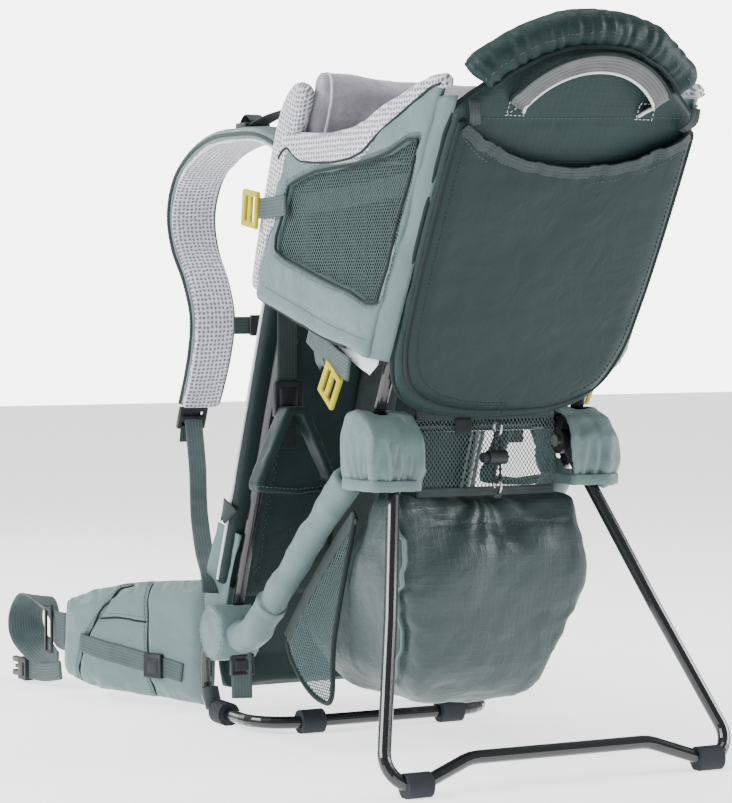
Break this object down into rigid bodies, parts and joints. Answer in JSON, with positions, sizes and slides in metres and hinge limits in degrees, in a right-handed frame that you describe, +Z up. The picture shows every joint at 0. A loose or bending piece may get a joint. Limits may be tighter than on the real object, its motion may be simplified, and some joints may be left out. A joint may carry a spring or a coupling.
{
  "type": "child carrier backpack",
  "caption": "Framed backpack for carrying a small child, with a padded cockpit, adjustable harness, storage bag and a folding tube kickstand.",
  "frame": {"origin": "on the floor under the middle of the whole carrier", "axes": "+X to the right seen from behind, +Y towards the front of the wearer, +Z up"},
  "size_m": [0.4546, 0.983, 0.72],
  "materials": {
    "tube": "gloss",
    "hard_plastic": "satin",
    "steel": "satin",
    "rubber": "matte",
    "shell_fabric": "silky woven",
    "dark_fabric": "ripstop woven",
    "spacer_mesh": "spacer mesh",
    "plush": "plush",
    "net": "coarse net",
    "webbing": "woven webbing",
    "grey_webbing": "reflective webbing",
    "yellow_plastic": "gloss",
    "cord": "elastic braid"
  },
  "bodies": {
    "frame": {"floor_loop_tube": "tube", "back_frame_tube": "tube", "hub_joints": "hard_plastic", "diagonal_tubes": "tube", "kickstand_brackets": "hard_plastic", "rear_cross_tube": "tube", "rear_hoop_tube": "tube", "pivot_pins": "steel", "front_feet": "rubber", "back_panel": "dark_fabric", "lumbar_pad": "shell_fabric", "lower_straps": "webbing", "wing_left": "shell_fabric", "wing_right": "shell_fabric", "wing_mesh_left": "net", "wing_mesh_right": "net", "front_cushion": "plush", "rear_panel": "dark_fabric", "rear_pocket": "dark_fabric", "headrest_roll": "shell_fabric", "grab_handle": "grey_webbing", "harness_pads": "dark_fabric", "adjuster_rings": "yellow_plastic", "wing_straps": "webbing", "storage_bag": "shell_fabric", "side_pocket_left": "net", "side_pocket_right": "net", "hinge_covers": "shell_fabric", "rear_mesh_panel": "net", "diagonal_sleeves": "shell_fabric", "hub_covers": "shell_fabric", "drawcord": "cord", "d_rings": "steel"},
    "kickstand": {"kickstand_tube": "tube", "kickstand_lugs": "hard_plastic", "kickstand_feet": "rubber"},
    "yoke": {"shoulder_yoke": "dark_fabric", "shoulder_strap_left": "spacer_mesh", "shoulder_strap_right": "spacer_mesh", "load_lifters": "webbing", "strap_buckles": "hard_plastic"},
    "chest": {"chest_strap": "webbing", "chest_buckle": "hard_plastic"},
    "hip_left": {"hip_fin_left": "shell_fabric", "hip_webbing_left": "webbing", "hip_buckle_male": "hard_plastic", "hip_triglide_left": "steel"},
    "hip_right": {"hip_fin_right": "shell_fabric", "hip_webbing_right": "webbing", "hip_buckle_female": "hard_plastic", "hip_triglide_right": "steel"},
    "seat": {"seat": "dark_fabric", "harness_buckle": "hard_plastic", "crotch_strap": "webbing"},
    "stirrup_left": {"stirrup_strap_left": "webbing"},
    "foot_loop_left": {"stirrup_loop_left": "dark_fabric"},
    "stirrup_right": {"stirrup_strap_right": "webbing"},
    "foot_loop_right": {"stirrup_loop_right": "dark_fabric"},
    "cord_lock": {"cord_lock_body": "hard_plastic"},
    "cord_button": {"cord_lock_button": "rubber"}
  },
  "joints": [
    {"name": "kickstand_fold", "type": "hinge", "parent": "frame", "child": "kickstand", "pos_m": [0, -0.265, 0.312], "axis": [1, 0, 0], "range_deg": [0, 55]},
    {"name": "yoke_slide", "type": "slide", "parent": "frame", "child": "yoke", "axis": [0, -0.3665, 0.9304], "range_m": [-0.03, 0.05]},
    {"name": "chest_slide", "type": "slide", "parent": "yoke", "child": "chest", "axis": [0, 0, 1], "range_m": [-0.02, 0.02]},
    {"name": "hip_left_fold", "type": "hinge", "parent": "frame", "child": "hip_left", "pos_m": [-0.126, 0.112, 0.08], "axis": [0, 0, -1], "range_deg": [-10, 25]},
    {"name": "hip_right_fold", "type": "hinge", "parent": "frame", "child": "hip_right", "pos_m": [0.126, 0.112, 0.08], "axis": [0, 0, 1], "range_deg": [-10, 25]},
    {"name": "seat_height", "type": "slide", "parent": "frame", "child": "seat", "axis": [0, 0, 1], "range_m": [-0.04, 0.04]},
    {"name": "stirrup_left_swing", "type": "hinge", "parent": "frame", "child": "stirrup_left", "pos_m": [-0.134, -0.1, 0.45], "axis": [1, 0, 0], "range_deg": [-15, 15]},
    {"name": "foot_loop_left_height", "type": "slide", "parent": "stirrup_left", "child": "foot_loop_left", "axis": [0, 0, 1], "range_m": [0, 0.05]},
    {"name": "stirrup_right_swing", "type": "hinge", "parent": "frame", "child": "stirrup_right", "pos_m": [0.134, -0.1, 0.45], "axis": [1, 0, 0], "range_deg": [-15, 15]},
    {"name": "foot_loop_right_height", "type": "slide", "parent": "stirrup_right", "child": "foot_loop_right", "axis": [0, 0, 1], "range_m": [0, 0.05]},
    {"name": "cord_lock_slide", "type": "slide", "parent": "frame", "child": "cord_lock", "axis": [0, 0, 1], "range_m": [-0.008, 0.006]},
    {"name": "cord_button_press", "type": "slide", "parent": "cord_lock", "child": "cord_button", "axis": [1, 0, 0], "range_m": [0, 0.003], "stiffness_N_per_m": 300, "springref_m": -0.002}
  ]
}
